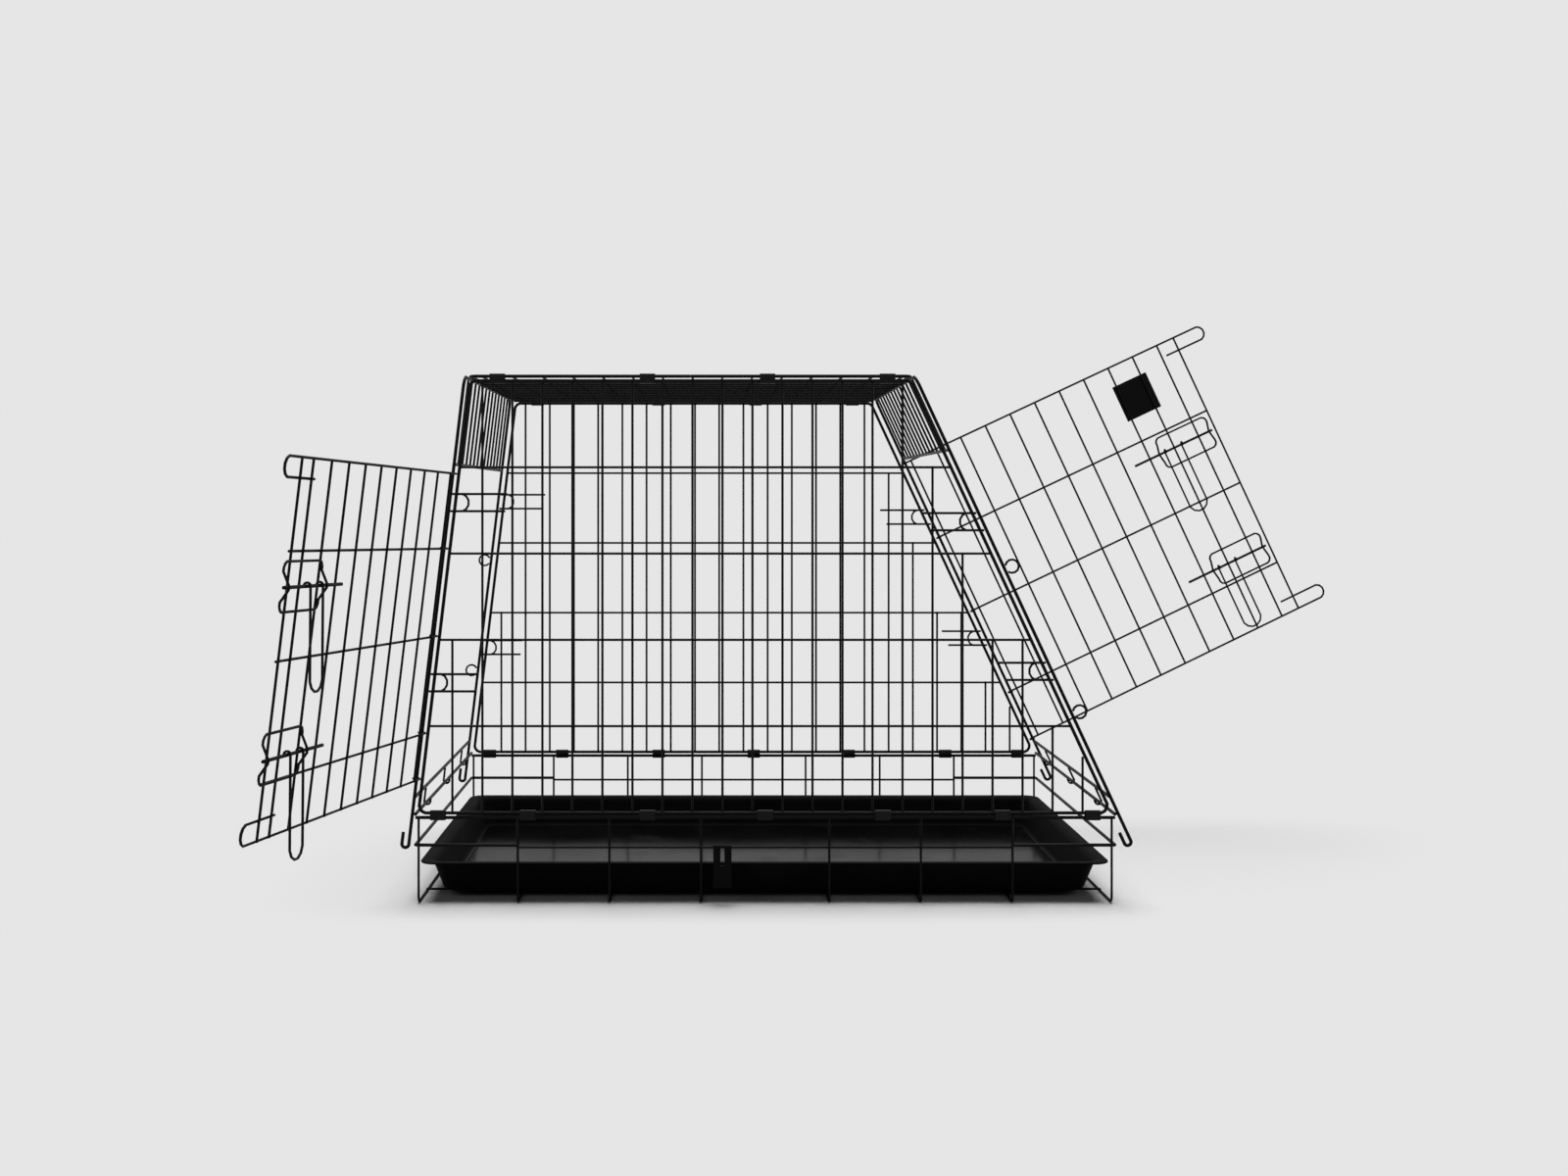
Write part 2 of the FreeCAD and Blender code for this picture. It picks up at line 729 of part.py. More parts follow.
def bolt_handle(down, angle, frame):
    """A long loop that hangs from the bolt by an eye on each leg, swung out from the door by an angle."""
    first = latch_edge - d.handle_back
    second = first + d.handle_width
    outer = bolt_layer + handle_eye
    inner = bolt_layer - handle_eye
    foot = down + d.handle_length
    eye_top = down - handle_eye
    points = [
        Vector(first, down + handle_eye / 2, inner),
        Vector(first, eye_top, inner),
        Vector(first, eye_top, outer),
        Vector(first, foot, outer),
        Vector(second, foot, outer),
        Vector(second, eye_top, outer),
        Vector(second, eye_top, inner),
        Vector(second, down + handle_eye / 2, inner),
    ]
    loop_bend = d.handle_width / 2
    bends = [handle_eye] * 2 + [loop_bend] * 2 + [handle_eye] * 2
    swing = Placement(Vector(), Rotation(ALONG_X, angle), Vector(0, down, bolt_layer))
    return bent_wire(points, bends, d.handle_wire, d.small_sides, frame * swing)


def door_plate(frame):
    """The bare square plate on the front door's outer face."""
    plate = doc.addObject("Part::Box", "Plate")
    plate.setExpression("Length", "Dims.plate_side")
    plate.setExpression("Width", "Dims.plate_side")
    plate.setExpression("Height", "Dims.plate_thickness")
    corner = Vector(latch_edge - d.plate_back - d.plate_side / 2, d.plate_down - d.plate_side / 2,
                    upright_layer + mesh_radius - d.light_bite)
    plate.Placement = frame * Placement(corner, Rotation())
    return plate


def build_door(name, end):
    frame = door_frame(end, name)
    height = door_height(name, end)
    width = latch_edge - getattr(d, f"{name}_door_margin")
    shares = [getattr(d, f"{name}_{place}_bar_share") for place in ("first", "second", "third")]
    bolts = bolt_places(name, end)
    first = getattr(d, f"{name}_door_first")
    pitch = getattr(d, f"{name}_door_pitch")
    bars = [door_crossbar(name, 0, width, 1, frame)]
    bars += [door_crossbar(name, height * share, width, 0, frame) for share in shares]
    bars.append(door_crossbar(name, height, width, -1, frame))
    node(f"{name}_door_crossbars", bars)
    parts_above = f"Dims.{name}_header - Dims.{name}_door_drop"
    parts_below = f"Dims.end_bottom_rail - Dims.{name}_door_lift"
    upright_length = f"({END_TOP} - {parts_above} - {parts_below}) / cos(Dims.{name}_lean * 1deg)"
    steps = int((width - first - pitch / 4) // pitch) + 1
    places = [first + step * pitch for step in range(steps)] + [width]
    node(f"{name}_door_uprights", [
        straight_wire(Vector(place, 0, upright_layer), ALONG_Y, upright_length, "mesh_wire", frame)
        for place in places
    ])
    node(f"{name}_door_bolt_guides", [bolt_guide(down, frame) for down in bolts])
    for level, down in zip(("upper", "lower"), bolts):
        node(f"{name}_{level}_bolt", [bolt(down, frame)])
        node(f"{name}_{level}_handle", [bolt_handle(down, getattr(d, f"{name}_handle_angle"), frame)])


# Tray
def rounded_rectangle(length, width, radius, height):
    x = length / 2
    y = width / 2
    corners = [Vector(-x, -y, height), Vector(x, -y, height), Vector(x, y, height), Vector(-x, y, height)]
    middle = (corners[0] + corners[1]) * 0.5
    return Part.makePolygon(bent_path([middle] + corners[1:] + [corners[0], middle], [radius] * 4))


def flared_block(length, width, flare, low, high):
    """A block whose rounded outline grows by the flare on every side as it rises."""
    foot = rounded_rectangle(length - 2 * flare, width - 2 * flare, d.tray_corner - flare / 2, low)
    brim = rounded_rectangle(length, width, d.tray_corner, high)
    return Part.makeLoft([foot, brim], True, True)


def build_tray():
    floor = mesh_radius + mesh_weld + mesh_radius + d.running_gap
    rim_length = d.crate_length - 2 * d.tray_end_gap
    rim_width = d.crate_width - 2 * d.tray_side_gap
    length = rim_length - 2 * d.tray_flange
    width = rim_width - 2 * d.tray_flange
    body = flared_block(length, width, d.tray_flare, floor, d.tray_rim)
    rim = rounded_rectangle(rim_length, rim_width, d.tray_corner, d.tray_rim - d.tray_wall)
    flange = Part.Face(rim).extrude(Vector(0, 0, d.tray_wall))
    hollow = flared_block(length - 2 * d.tray_wall, width - 2 * d.tray_wall, d.tray_flare,
                          floor + d.tray_wall, d.tray_rim)
    tray = doc.addObject("Part::Feature", "TrayShell")
    tray.Shape = body.fuse(flange).cut(hollow).removeSplitter()
    node("tray", [tray])


# Tray latch
def build_latch():
    wire = Vector(d.latch_place, -(half_width - rail_weld + mesh_weld), d.base_wire_height)
    barrel = doc.addObject("Part::Prism", "LatchBarrel")
    barrel.setExpression("Polygon", "Dims.frame_sides")
    barrel.setExpression("Circumradius", "Dims.mesh_wire / 2 + Dims.running_gap + Dims.latch_wall")
    barrel.setExpression("Height", "Dims.latch_width")
    start = wire - Vector(d.latch_width / 2, 0, 0)
    barrel.Placement = Placement(start, Rotation(ALONG_Z, ALONG_X))
    tongue = doc.addObject("Part::Box", "LatchTongue")
    tongue.setExpression("Length", "Dims.latch_width")
    tongue.setExpression("Width", "Dims.latch_thickness")
    tongue.setExpression("Height", "Dims.latch_drop")
    tongue.Placement = Placement(start - Vector(0, d.latch_thickness / 2, d.latch_drop), Rotation())
    blank = doc.addObject("Part::Fuse", "LatchBlank")
    blank.Base = barrel
    blank.Tool = tongue
    bore = doc.addObject("Part::Cylinder", "LatchBore")
    bore.setExpression("Radius", "Dims.mesh_wire / 2 + Dims.running_gap")
    bore.setExpression("Height", "Dims.latch_width")
    bore.Placement = barrel.Placement
    notch = doc.addObject("Part::Box", "LatchNotch")
    notch.setExpression("Length", "Dims.latch_notch")
    notch.setExpression("Width", "Dims.latch_width")
    notch.setExpression("Height", "Dims.latch_width")
    corner = wire - Vector(d.latch_notch / 2, d.latch_width / 2, d.latch_notch_floor)
    notch.Placement = Placement(corner, Rotation())
    swivel = doc.addObject("Part::Cut", "LatchSwivel")
    swivel.Base = blank
    swivel.Tool = bore
    latch = doc.addObject("Part::Cut", "LatchFork")
    latch.Base = swivel
    latch.Tool = notch
    node("tray_latch", [latch])


build_base()
build_side("near", -1)
build_side("far", 1)
build_top()
build_end("rear", -1)
build_end("front", 1)
build_door("rear", -1)
build_door("front", 1)
node("front_door_plate", [door_plate(door_frame(1, "front"))])
build_tray()
build_latch()

doc.recompute()
for item in doc.Objects:
    if "Invalid" in item.State or "Error" in item.State:
        raise RuntimeError(f"{item.Name} failed: {item.State}")
for item in nodes:
    if item.Shape.isNull() or not item.Shape.isValid():
        raise RuntimeError(f"{item.Label} has no valid shape")
for item in nodes:
    item.Shape.exportStep(f"parts/{item.Label}.step")
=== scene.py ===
import json
import math

import bpy
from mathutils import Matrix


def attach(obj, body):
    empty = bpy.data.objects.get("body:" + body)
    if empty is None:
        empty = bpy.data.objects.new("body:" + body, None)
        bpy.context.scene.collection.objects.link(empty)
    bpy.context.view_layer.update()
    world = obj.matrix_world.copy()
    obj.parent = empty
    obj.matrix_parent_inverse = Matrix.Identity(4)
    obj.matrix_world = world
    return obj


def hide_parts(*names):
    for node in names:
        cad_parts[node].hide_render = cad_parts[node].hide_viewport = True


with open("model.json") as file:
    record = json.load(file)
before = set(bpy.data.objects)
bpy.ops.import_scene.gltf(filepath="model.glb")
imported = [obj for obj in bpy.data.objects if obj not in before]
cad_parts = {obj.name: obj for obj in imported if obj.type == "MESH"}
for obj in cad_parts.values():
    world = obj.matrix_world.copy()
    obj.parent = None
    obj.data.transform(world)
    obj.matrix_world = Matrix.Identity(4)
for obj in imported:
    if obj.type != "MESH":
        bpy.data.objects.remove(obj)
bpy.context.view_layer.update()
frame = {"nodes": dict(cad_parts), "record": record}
nodes = frame["nodes"]
BODIES = frame["record"]["behaviour"]["bodies"]
BODY_OF = {node: body for body, group in BODIES.items() for node in group}

CLIP_NODES = ("base_hinge_clips", "top_hinge_clips")
MOULDED_NODES = ("tray", "tray_latch", "front_door_plate")
WIRE_NODES = [name for name in nodes if name not in CLIP_NODES + MOULDED_NODES]

# Tray: sizes in metres, the same as the frame's, and the steps round each corner
TRAY_RIM = (0.911, 0.506)
TRAY_BRIM = (0.883, 0.478)
TRAY_FOOT = (0.855, 0.450)
TRAY_UNDERSIDE = 0.0065
TRAY_TOP = 0.051
TRAY_WALL = 0.0024
TRAY_FOOT_CORNER = 0.019
TRAY_CORNER_STEPS = 6

# Facets of a node nearer than this are joined, in metres
MERGE_DISTANCE = 0.00001

# What all finishes share: the usual span of a noise, its detail, and how grain and rubs show
NOISE_SPAN = (0.32, 0.68)
CLOUD_DETAIL = 4
GRAIN_DETAIL = 2
GRAIN_SHARE = 0.4
GRAIN_STRENGTH = 0.6
RUB_DETAIL = 5
RUB_SPAN = (0.58, 0.70)
RUB_DULLING = 0.2
COOL_TINT = 1.04

# Studio: paper floor, the oval that keeps the shadow, lights and camera
# Places and sides are in metres, the sensor and the lens in millimetres
PAPER_TONE = (0.79, 0.79, 0.79, 1)
FLOOR_SIDE = 40
FLOOR_DROP = 0.0003
SHADOW_OVAL = (0.3, 1.7, 1)
SHADOW_FADE = (0.46, 0.66)
AMBIENT_LEVEL = 0.03
OVERHEAD_HEIGHT = 3
SOFTBOX_SIDE = 1.6
SOFTBOX_AIM = (0, 0, 0.3)
CAMERA_PLACE = (-0.078, -2.469, 0.531)
CAMERA_SENSOR = 36
CAMERA_LENS = 38.7
CAMERA_SHIFT = (0.05, -0.0575)


# Shader groups
def new_group(name, inputs, outputs):
    """An empty shader group. inputs and outputs map the name of each socket to its type."""
    group = bpy.data.node_groups.new(name, "ShaderNodeTree")
    for label, kind in inputs.items():
        group.interface.new_socket(label, in_out="INPUT", socket_type=kind)
    for label, kind in outputs.items():
        group.interface.new_socket(label, in_out="OUTPUT", socket_type=kind)
    start = group.nodes.new("NodeGroupInput")
    end = group.nodes.new("NodeGroupOutput")
    return group, start.outputs, end.inputs


def noise(tree, vector, scale, detail):
    texture = tree.nodes.new("ShaderNodeTexNoise")
    texture.inputs["Detail"].default_value = detail
    tree.links.new(vector, texture.inputs["Vector"])
    tree.links.new(scale, texture.inputs["Scale"])
    return texture.outputs["Fac"]


def spread(tree, value, low, high):
    """A value of a noise, stretched from its usual span to low and high, which are sockets."""
    stretch = tree.nodes.new("ShaderNodeMapRange")
    stretch.inputs["From Min"].default_value = NOISE_SPAN[0]
    stretch.inputs["From Max"].default_value = NOISE_SPAN[1]
    tree.links.new(value, stretch.inputs["Value"])
    tree.links.new(low, stretch.inputs["To Min"])
    tree.links.new(high, stretch.inputs["To Max"])
    return stretch.outputs["Result"]


def make_grain_group():
    """Cloudy tone, uneven gloss and a fine grain, for coatings and moulded plastic alike."""
    group, given, put = new_group("surface_grain", {
        "Vector": "NodeSocketVector",
        "Dark": "NodeSocketColor",
        "Light": "NodeSocketColor",
        "Cloud Scale": "NodeSocketFloat",
        "Grain Scale": "NodeSocketFloat",
        "Low Roughness": "NodeSocketFloat",
        "High Roughness": "NodeSocketFloat",
    }, {
        "Colour": "NodeSocketColor",
        "Roughness": "NodeSocketFloat",
        "Height": "NodeSocketFloat",
    })
    cloud = noise(group, given["Vector"], given["Cloud Scale"], CLOUD_DETAIL)
    grain = noise(group, given["Vector"], given["Grain Scale"], GRAIN_DETAIL)
    tone = group.nodes.new("ShaderNodeMix")
    tone.data_type = "RGBA"
    group.links.new(cloud, tone.inputs["Factor"])
    group.links.new(given["Dark"], tone.inputs["A"])
    group.links.new(given["Light"], tone.inputs["B"])
    blend = group.nodes.new("ShaderNodeMix")
    blend.inputs["Factor"].default_value = GRAIN_SHARE
    group.links.new(cloud, blend.inputs["A"])
    group.links.new(grain, blend.inputs["B"])
    rough = spread(group, blend.outputs["Result"], given["Low Roughness"], given["High Roughness"])
    group.links.new(tone.outputs["Result"], put["Colour"])
    group.links.new(rough, put["Roughness"])
    group.links.new(grain, put["Height"])
    return group


def make_rub_group():
    """Scattered pale rubs, as handling leaves on a coating."""
    group, given, put = new_group("rub_marks", {
        "Vector": "NodeSocketVector",
        "Colour": "NodeSocketColor",
        "Rubbed": "NodeSocketColor",
        "Roughness": "NodeSocketFloat",
        "Mark Scale": "NodeSocketFloat",
        "Amount": "NodeSocketFloat",
    }, {
        "Colour": "NodeSocketColor",
        "Roughness": "NodeSocketFloat",
    })
    marks = noise(group, given["Vector"], given["Mark Scale"], RUB_DETAIL)
    rubbed = group.nodes.new("ShaderNodeMapRange")
    rubbed.inputs["From Min"].default_value = RUB_SPAN[0]
    rubbed.inputs["From Max"].default_value = RUB_SPAN[1]
    group.links.new(marks, rubbed.inputs["Value"])
    group.links.new(given["Amount"], rubbed.inputs["To Max"])
    tone = group.nodes.new("ShaderNodeMix")
    tone.data_type = "RGBA"
    group.links.new(rubbed.outputs["Result"], tone.inputs["Factor"])
    group.links.new(given["Colour"], tone.inputs["A"])
    group.links.new(given["Rubbed"], tone.inputs["B"])
    dull = group.nodes.new("ShaderNodeMath")
    dull.operation = "MULTIPLY_ADD"
    dull.inputs[1].default_value = RUB_DULLING
    group.links.new(rubbed.outputs["Result"], dull.inputs[0])
    group.links.new(given["Roughness"], dull.inputs[2])
    group.links.new(tone.outputs["Result"], put["Colour"])
    group.links.new(dull.outputs["Value"], put["Roughness"])
    return group


GRAIN = make_grain_group()
RUBS = make_rub_group()


def grey(level):
    return (level, level, level * COOL_TINT, 1.0)


def make_finish(name, tones, rough, gloss, cloud_scale, grain_scale, grain_depth,
                rub_scale, rub_amount):
    """A black finish with cloudy tone, fine grain and rubs. tones are dark, light and rubbed greys."""
    dark, light, rubbed = tones
    material = bpy.data.materials.new(name)
    material.use_nodes = True
    tree = material.node_tree
    shader = tree.nodes["Principled BSDF"]
    shader.inputs["Specular IOR Level"].default_value = gloss
    place = tree.nodes.new("ShaderNodeTexCoord").outputs["Object"]
    grain = tree.nodes.new("ShaderNodeGroup")
    grain.node_tree = GRAIN
    grain.inputs["Dark"].default_value = grey(dark)
    grain.inputs["Light"].default_value = grey(light)
    grain.inputs["Cloud Scale"].default_value = cloud_scale
    grain.inputs["Grain Scale"].default_value = grain_scale
    grain.inputs["Low Roughness"].default_value = rough[0]
    grain.inputs["High Roughness"].default_value = rough[1]
    rubs = tree.nodes.new("ShaderNodeGroup")
    rubs.node_tree = RUBS
    rubs.inputs["Rubbed"].default_value = grey(rubbed)
    rubs.inputs["Mark Scale"].default_value = rub_scale
    rubs.inputs["Amount"].default_value = rub_amount
    relief = tree.nodes.new("ShaderNodeBump")
    relief.inputs["Distance"].default_value = grain_depth
    relief.inputs["Strength"].default_value = GRAIN_STRENGTH
    for group in (grain, rubs):
        tree.links.new(place, group.inputs["Vector"])
    tree.links.new(grain.outputs["Colour"], rubs.inputs["Colour"])
    tree.links.new(grain.outputs["Roughness"], rubs.inputs["Roughness"])
    tree.links.new(rubs.outputs["Colour"], shader.inputs["Base Color"])
    tree.links.new(rubs.outputs["Roughness"], shader.inputs["Roughness"])
    tree.links.new(grain.outputs["Height"], relief.inputs["Height"])
    tree.links.new(relief.outputs["Normal"], shader.inputs["Normal"])
    return material


def dull_above(material, low, high, rough):
    """Turn a finish dull above a height: a tray's walls are grained and its floor is smooth."""
    tree = material.node_tree
    shader = tree.nodes["Principled BSDF"]
    smooth = shader.inputs["Roughness"].links[0].from_socket
    place = tree.nodes.new("ShaderNodeTexCoord")
    split = tree.nodes.new("ShaderNodeSeparateXYZ")
    tree.links.new(place.outputs["Object"], split.inputs["Vector"])
    climb = tree.nodes.new("ShaderNodeMapRange")
    climb.inputs["From Min"].default_value = low
    climb.inputs["From Max"].default_value = high
    tree.links.new(split.outputs["Z"], climb.inputs["Value"])
    blend = tree.nodes.new("ShaderNodeMix")
    tree.links.new(climb.outputs["Result"], blend.inputs["Factor"])
    tree.links.new(smooth, blend.inputs["A"])
    blend.inputs["B"].default_value = rough
    tree.links.new(blend.outputs["Result"], shader.inputs["Roughness"])


def warp(material, scale, depth):
    """Put a broad shallow wave under the grain, so that it reflects as a thin moulded sheet does."""
    tree = material.node_tree
    relief = tree.nodes["Principled BSDF"].inputs["Normal"].links[0].from_node
    place = tree.nodes.new("ShaderNodeTexCoord")
    wave = tree.nodes.new("ShaderNodeTexNoise")
    wave.inputs["Scale"].default_value = scale
    wave.inputs["Detail"].default_value = 0
    tree.links.new(place.outputs["Object"], wave.inputs["Vector"])
    broad = tree.nodes.new("ShaderNodeBump")
    broad.inputs["Distance"].default_value = depth
    tree.links.new(wave.outputs["Fac"], broad.inputs["Height"])
    tree.links.new(broad.outputs["Normal"], relief.inputs["Normal"])


coated_wire = make_finish(
    "coated_wire_finish", tones=(0.001, 0.003, 0.008), rough=(0.36, 0.52), gloss=0.08,
    cloud_scale=26, grain_scale=900, grain_depth=0.0001, rub_scale=60, rub_amount=0.35)
clip_strip = make_finish(
    "clip_strip_finish", tones=(0.001, 0.004, 0.012), rough=(0.34, 0.50), gloss=0.12,
    cloud_scale=40, grain_scale=900, grain_depth=0.0002, rub_scale=90, rub_amount=0.5)
tray_plastic = make_finish(
    "tray_plastic_finish", tones=(0.001, 0.004, 0.008), rough=(0.12, 0.20), gloss=0.03,
    cloud_scale=9, grain_scale=1400, grain_depth=0.00002, rub_scale=14, rub_amount=0.3)
dull_above(tray_plastic, low=0.00895, high=0.0094, rough=0.7)
warp(tray_plastic, scale=3.5, depth=0.003)
latch_plastic = make_finish(
    "latch_plastic_finish", tones=(0.001, 0.003, 0.007), rough=(0.46, 0.60), gloss=0.05,
    cloud_scale=50, grain_scale=1600, grain_depth=0.0001, rub_scale=80, rub_amount=0.4)
plate_plastic = make_finish(
    "plate_plastic_finish", tones=(0.001, 0.003, 0.007), rough=(0.38, 0.56), gloss=0.06,
    cloud_scale=30, grain_scale=1600, grain_depth=0.0001, rub_scale=50, rub_amount=0.4)


# Wires, clips, latch and plate
def clear_selection():
    for item in bpy.context.selected_objects:
        item.select_set(False)


def pick(item):
    """Make one object the only selected one."""
    clear_selection()
    item.select_set(True)
    bpy.context.view_layer.objects.active = item


def merged_copy(name):
    """A piece with a node's shape, its facets joined so that they can be rounded and shaded."""
    piece = bpy.data.objects.new(f"{name}_coated", nodes[name].data.copy())
    bpy.context.scene.collection.objects.link(piece)
    pick(piece)
    bpy.ops.mesh.customdata_custom_splitnormals_clear()
    bpy.ops.object.mode_set(mode="EDIT")
    bpy.ops.mesh.select_all(action="SELECT")
    bpy.ops.mesh.remove_doubles(threshold=MERGE_DISTANCE)
    bpy.ops.object.mode_set(mode="OBJECT")
    return piece


def round_edges(piece, width, steps, sharp_from):
    """Bevel every edge that turns by more than an angle, in degrees."""
    edge = piece.modifiers.new("edge", "BEVEL")
    edge.width = width
    edge.segments = steps
    edge.limit_method = "ANGLE"
    edge.angle_limit = math.radians(sharp_from)
    pick(piece)
    bpy.ops.object.modifier_apply(modifier="edge")


def even_shade(piece, smooth_to):
    """Shade smoothly over edges that turn by less than an angle, with the large faces kept flat."""
    pick(piece)
    bpy.ops.object.shade_smooth_by_angle(angle=math.radians(smooth_to))
    shade = piece.modifiers.new("shade", "WEIGHTED_NORMAL")
    shade.keep_sharp = True
    bpy.ops.object.modifier_apply(modifier="shade")


def finish_piece(piece, node, material):
    """Give a piece its material and set it in the place of its node."""
    piece.data.materials.clear()
    piece.data.materials.append(material)
    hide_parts(node)
    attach(piece, BODY_OF[node])


def dress(name, material, width, steps, sharp_from, smooth_to):
    """Round, shade and finish a copy of a node, in the node's place."""
    piece = merged_copy(name)
    round_edges(piece, width, steps, sharp_from)
    even_shade(piece, smooth_to)
    finish_piece(piece, name, material)


for name in WIRE_NODES:
    dress(name, coated_wire, width=0.0006, steps=2, sharp_from=75, smooth_to=70)
for name in CLIP_NODES:
    dress(name, clip_strip, width=0.0002, steps=2, sharp_from=40, smooth_to=70)
dress("tray_latch", latch_plastic, width=0.0005, steps=2, sharp_from=50, smooth_to=50)
dress("front_door_plate", plate_plastic, width=0.0005, steps=3, sharp_from=50, smooth_to=50)


# Tray
def pick_boundary():
    """Select the open edge of the sheet in edit mode."""
    bpy.ops.mesh.select_all(action="DESELECT")
    bpy.ops.mesh.select_mode(type="EDGE")
    bpy.ops.mesh.select_non_manifold(
        extend=False, use_boundary=True, use_wire=False, use_multi_face=False,
        use_non_contiguous=False, use_verts=False)


def grow_edge(rise, start, end):
    """Extrude the open edge upwards, then widen it from one length and width to another."""
    pick_boundary()
    bpy.ops.mesh.extrude_edges_move(TRANSFORM_OT_translate={"value": (0, 0, rise)})
    growth = (end[0] / start[0], end[1] / start[1], 1)
    bpy.ops.transform.resize(value=growth, center_override=(0, 0, 0))


def model_tray():
    """The floor pan, drawn up from one rounded sheet and given its thickness at the end."""
    clear_selection()
    bpy.ops.mesh.primitive_plane_add(size=1, location=(0, 0, TRAY_UNDERSIDE))
    pan = bpy.context.object
    pan.name = "floor_pan"
    pan.scale = (TRAY_FOOT[0], TRAY_FOOT[1], 1)
    bpy.ops.object.transform_apply(location=True, rotation=True, scale=True)
    bpy.ops.object.mode_set(mode="EDIT")
    bpy.ops.mesh.select_all(action="SELECT")
    bpy.ops.mesh.bevel(offset=TRAY_FOOT_CORNER, segments=TRAY_CORNER_STEPS, affect="VERTICES")
    grow_edge(TRAY_TOP - TRAY_WALL - TRAY_UNDERSIDE, TRAY_FOOT, TRAY_BRIM)
    grow_edge(0, TRAY_BRIM, TRAY_RIM)
    bpy.ops.object.mode_set(mode="OBJECT")
    round_edges(pan, width=0.006, steps=4, sharp_from=30)
    wall = pan.modifiers.new("wall", "SOLIDIFY")
    wall.thickness = TRAY_WALL
    wall.offset = 1
    bpy.ops.object.modifier_apply(modifier="wall")
    round_edges(pan, width=0.0007, steps=2, sharp_from=60)
    even_shade(pan, smooth_to=40)
    return pan


finish_piece(model_tray(), "tray", tray_plastic)


# Floor, world, lights and camera
def background_mask(tree):
    """1 for rays that should see the plain background, 0 for rays that carry light."""
    path = tree.nodes.new("ShaderNodeLightPath")
    mask = path.outputs["Is Camera Ray"]
    for label in ("Is Glossy Ray", "Is Transmission Ray"):
        either = tree.nodes.new("ShaderNodeMath")
        either.operation = "MAXIMUM"
        tree.links.new(mask, either.inputs[0])
        tree.links.new(path.outputs[label], either.inputs[1])
        mask = either.outputs["Value"]
    return mask


def make_paper():
    """Pale paper that keeps the shadow near the crate and runs out into the plain background."""
    material = bpy.data.materials.new("pale_paper")
    material.use_nodes = True
    tree = material.node_tree
    tree.nodes.clear()
    out = tree.nodes.new("ShaderNodeOutputMaterial")
    near = tree.nodes.new("ShaderNodeBsdfDiffuse")
    near.inputs["Color"].default_value = PAPER_TONE
    plain = tree.nodes.new("ShaderNodeEmission")
    plain.inputs["Color"].default_value = PAPER_TONE
    place = tree.nodes.new("ShaderNodeTexCoord")
    oval = tree.nodes.new("ShaderNodeVectorMath")
    oval.operation = "MULTIPLY"
    oval.inputs[1].default_value = SHADOW_OVAL
    tree.links.new(place.outputs["Object"], oval.inputs[0])
    reach = tree.nodes.new("ShaderNodeVectorMath")
    reach.operation = "LENGTH"
    tree.links.new(oval.outputs["Vector"], reach.inputs[0])
    fade = tree.nodes.new("ShaderNodeMapRange")
    fade.interpolation_type = "SMOOTHSTEP"
    fade.inputs["From Min"].default_value = SHADOW_FADE[0]
    fade.inputs["From Max"].default_value = SHADOW_FADE[1]
    tree.links.new(reach.outputs["Value"], fade.inputs["Value"])
    both = tree.nodes.new("ShaderNodeMath")
    both.operation = "MULTIPLY"
    tree.links.new(fade.outputs["Result"], both.inputs[0])
    tree.links.new(background_mask(tree), both.inputs[1])
    mix = tree.nodes.new("ShaderNodeMixShader")
    tree.links.new(both.outputs["Value"], mix.inputs[0])
    tree.links.new(near.outputs["BSDF"], mix.inputs[1])
    tree.links.new(plain.outputs["Emission"], mix.inputs[2])
    tree.links.new(mix.outputs["Shader"], out.inputs["Surface"])
    return material


def make_floor():
    """A wide paper floor just under the base wires."""
    clear_selection()
    bpy.ops.mesh.primitive_plane_add(size=FLOOR_SIDE, location=(0, 0, -FLOOR_DROP))
    floor = bpy.context.object
    floor.name = "paper_floor"
    floor.data.materials.append(make_paper())


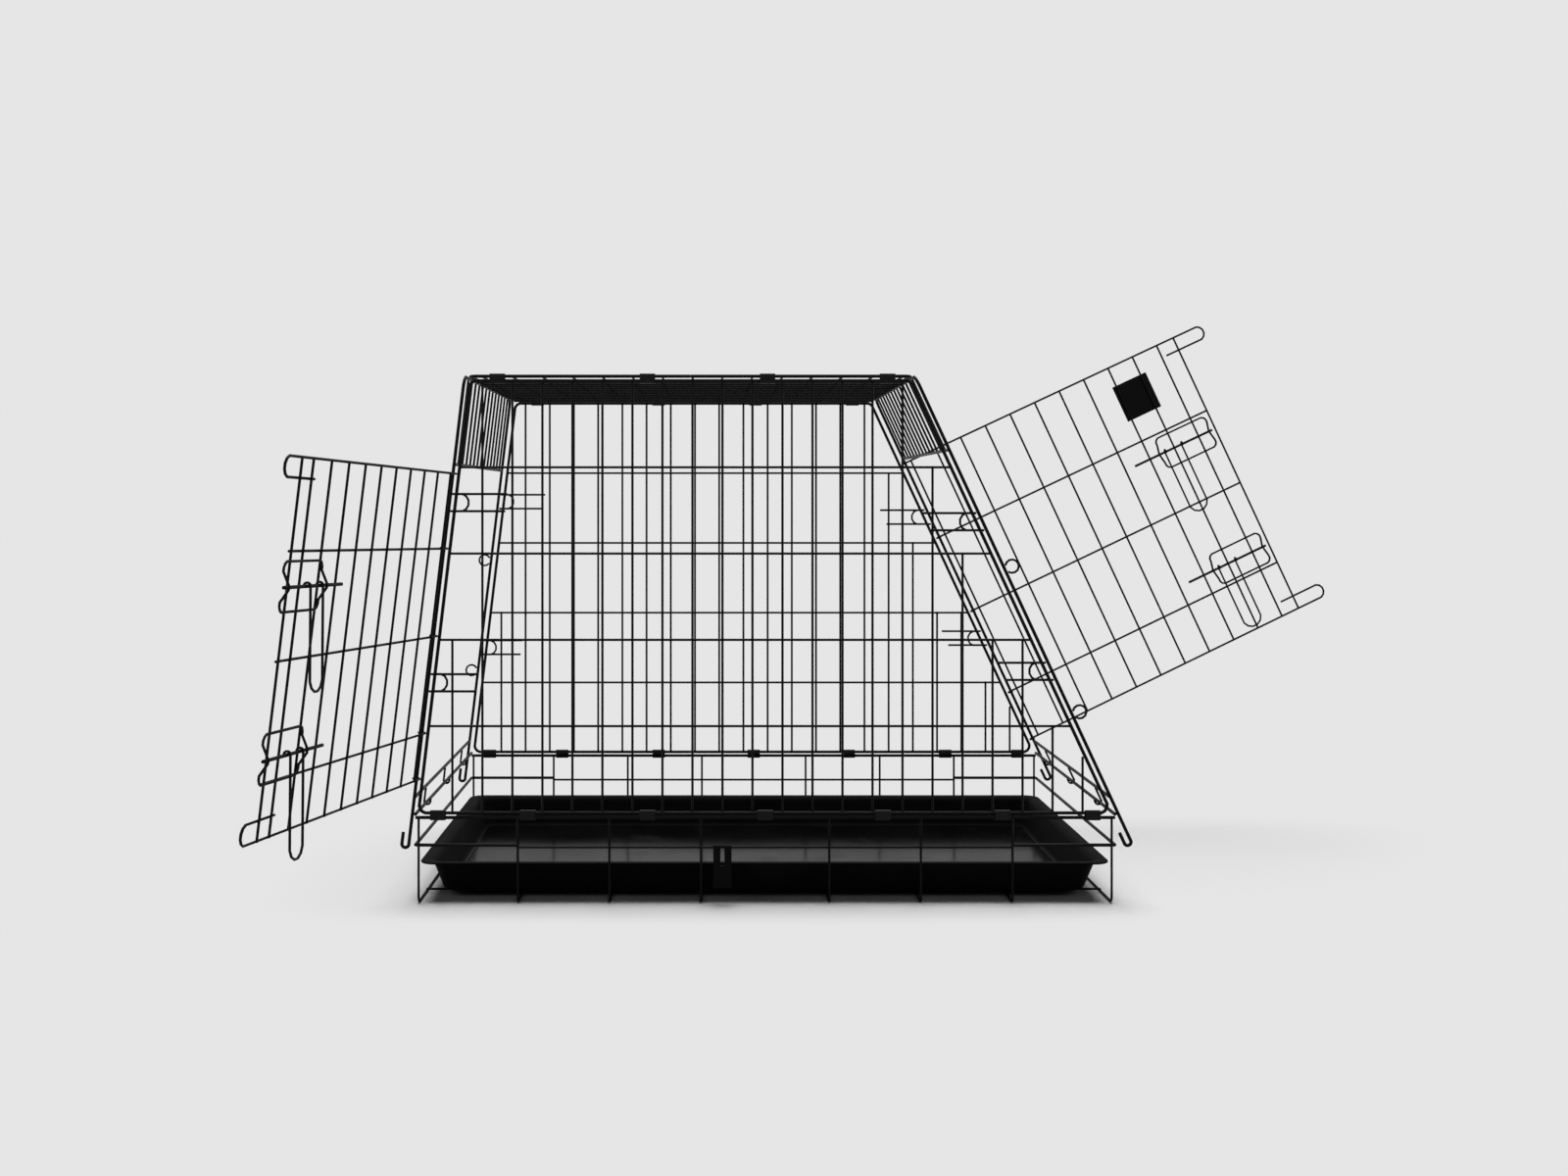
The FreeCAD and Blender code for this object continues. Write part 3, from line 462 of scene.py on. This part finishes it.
def make_world():
    """A dim even light all round, behind a plain background."""
    world = bpy.data.worlds.new("soft_studio")
    world.use_nodes = True
    tree = world.node_tree
    tree.nodes.clear()
    out = tree.nodes.new("ShaderNodeOutputWorld")
    light = tree.nodes.new("ShaderNodeBackground")
    light.inputs["Color"].default_value = (AMBIENT_LEVEL, AMBIENT_LEVEL, AMBIENT_LEVEL, 1)
    plain = tree.nodes.new("ShaderNodeBackground")
    plain.inputs["Color"].default_value = PAPER_TONE
    mix = tree.nodes.new("ShaderNodeMixShader")
    tree.links.new(background_mask(tree), mix.inputs[0])
    tree.links.new(light.outputs["Background"], mix.inputs[1])
    tree.links.new(plain.outputs["Background"], mix.inputs[2])
    tree.links.new(mix.outputs["Shader"], out.inputs["Surface"])
    bpy.context.scene.world = world


def overhead_light(lean, fan, strength):
    """Even light from a wide bank overhead. It leans back and fans out by angles in degrees."""
    data = bpy.data.lights.new("overhead_light", "SUN")
    data.angle = math.radians(fan)
    data.energy = strength
    lamp = bpy.data.objects.new("overhead_light", data)
    bpy.context.scene.collection.objects.link(lamp)
    lamp.location = (0, 0, OVERHEAD_HEIGHT)
    lamp.rotation_euler = (math.radians(-lean), 0, 0)


def softbox(name, place, power):
    """A square soft lamp that faces the crate."""
    data = bpy.data.lights.new(name, "AREA")
    data.shape = "SQUARE"
    data.size = SOFTBOX_SIDE
    data.energy = power
    lamp = bpy.data.objects.new(name, data)
    bpy.context.scene.collection.objects.link(lamp)
    lamp.location = place
    way = [end - start for end, start in zip(SOFTBOX_AIM, place)]
    flat = math.hypot(way[0], way[1])
    lamp.rotation_euler = (math.atan2(flat, -way[2]), 0, math.atan2(-way[0], way[1]))


def make_camera():
    data = bpy.data.cameras.new("studio_camera")
    data.sensor_width = CAMERA_SENSOR
    data.lens = CAMERA_LENS
    data.shift_x = CAMERA_SHIFT[0]
    data.shift_y = CAMERA_SHIFT[1]
    camera = bpy.data.objects.new("studio_camera", data)
    camera.location = CAMERA_PLACE
    camera.rotation_euler = (math.radians(90), 0, 0)
    bpy.context.scene.collection.objects.link(camera)
    bpy.context.scene.camera = camera


make_floor()
make_world()
overhead_light(lean=14, fan=46, strength=3.06)
softbox("left_softbox", place=(-2.4, -1.8, 1.8), power=3.5)
softbox("right_softbox", place=(2.4, -1.4, 1.6), power=2.5)
make_camera()

bpy.context.scene.view_settings.view_transform = "Standard"
